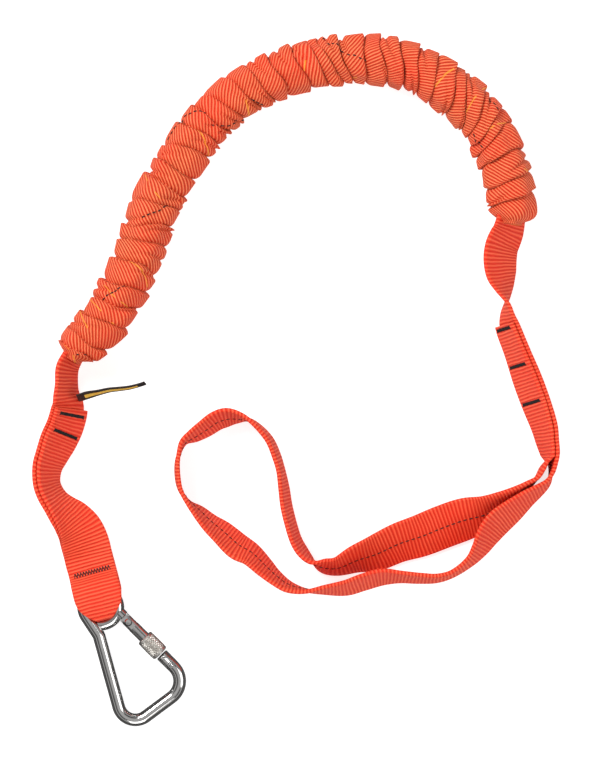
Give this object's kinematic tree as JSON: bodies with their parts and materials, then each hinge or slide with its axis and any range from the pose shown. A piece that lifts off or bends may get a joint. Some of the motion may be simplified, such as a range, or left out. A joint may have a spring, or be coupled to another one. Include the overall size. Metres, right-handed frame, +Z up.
{
  "type": "shock absorbing lanyard",
  "caption": "Elastic tool lanyard: orange tubular webbing gathered over a stretch core, with a screw-gate hook sewn on one end and a long choke loop on the other.",
  "frame": {"origin": "on the surface it lies on, below the middle of its bounding box", "axes": "+Z up from the surface, +Y from the hook towards the top of the bungee's arch, +X from the hook side towards the loop side"},
  "size_m": [0.2818, 0.3724, 0.028],
  "materials": {
    "orange_webbing": "woven, slightly glossy",
    "black_thread": "matt",
    "elastic": "matt",
    "label_cloth": "matt",
    "polished_stainless": "polished",
    "knurled_steel": "knurled",
    "spring_steel": "drawn wire"
  },
  "bodies": {
    "hook_end": {"hook_strap_base": "orange_webbing", "hook_strap_tail": "orange_webbing", "hook_tack_upper": "black_thread", "hook_tack_lower": "black_thread", "label_tag": "label_cloth", "bungee_cover": "orange_webbing", "elastic_core": "elastic", "core_tack_hook": "black_thread"},
    "hook": {"webbing_eye": "orange_webbing", "hook_zigzag_tack": "black_thread", "hook_frame": "polished_stainless", "gate_rivet": "polished_stainless"},
    "gate": {"gate_lever": "polished_stainless", "gate_spring": "spring_steel"},
    "plunger": {"gate_plunger": "spring_steel"},
    "sleeve": {"screw_sleeve": "knurled_steel"},
    "loop_end": {"loop_neck_strap": "orange_webbing", "choke_loop": "orange_webbing", "loop_tack_upper": "black_thread", "loop_tack_middle": "black_thread", "loop_tack_lower": "black_thread", "core_tack_loop": "black_thread"}
  },
  "joints": [
    {"name": "hook_swing", "type": "hinge", "parent": "hook_end", "child": "hook", "pos_m": [-0.1104, -0.1006, 0.0054], "axis": [-0.9652, -0.2614, 0], "range_deg": [0, 75], "deforming": ["webbing_eye"]},
    {"name": "gate_pivot", "type": "hinge", "parent": "hook", "child": "gate", "pos_m": [-0.0901, -0.12976, 0.00586], "axis": [0, 0.0454, -0.999], "range_deg": [0, 30], "stiffness_Nm_per_rad": 0.05, "springref_deg": -11.46},
    {"name": "plunger_travel", "type": "slide", "parent": "gate", "child": "plunger", "axis": [0.7071, -0.7064, -0.0321], "range_m": [0, 0.0009], "deforming": ["gate_spring"]},
    {"name": "sleeve_travel", "type": "slide", "parent": "gate", "child": "sleeve", "axis": [0.7071, -0.7064, -0.0321], "range_m": [0, 0.009]},
    {"name": "bungee_stretch", "type": "slide", "parent": "hook_end", "child": "loop_end", "axis": [0.9538, 0.3006, 0], "range_m": [0, 0.18], "stiffness_N_per_m": 300, "deforming": ["bungee_cover", "elastic_core"]}
  ],
  "couplings": [
    {"joint": "plunger_travel", "follows": "gate_pivot", "m_per_rad": 0.0015279}
  ]
}
